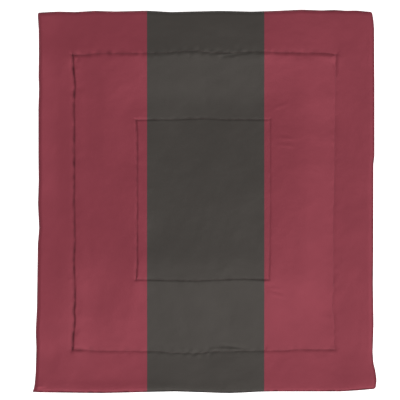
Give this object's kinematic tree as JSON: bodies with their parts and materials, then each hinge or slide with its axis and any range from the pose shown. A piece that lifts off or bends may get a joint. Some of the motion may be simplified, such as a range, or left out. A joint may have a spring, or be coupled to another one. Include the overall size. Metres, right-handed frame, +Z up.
{
  "type": "comforter",
  "caption": "Filled comforter laid flat face up, with a crowned border, ring and centre panel between lines of quilting sewn as nested rectangles and a thin sewn edge.",
  "frame": {"origin": "on the floor under the middle of the comforter's bounding box", "axes": "+X across the width, to the right as seen from above; +Y up the length, towards the head end; +Z up, out of the face"},
  "size_m": [2.3018, 2.564, 0.0467],
  "materials": {
    "face_cloth": "smooth close-woven microfibre, matt with a slight sheen, wine red with one broad charcoal band up the middle",
    "thread": "spun polyester sewing thread, dyed to match the cloth"
  },
  "bodies": {
    "root": {"comforter": "face_cloth"}
  },
  "joints": []
}
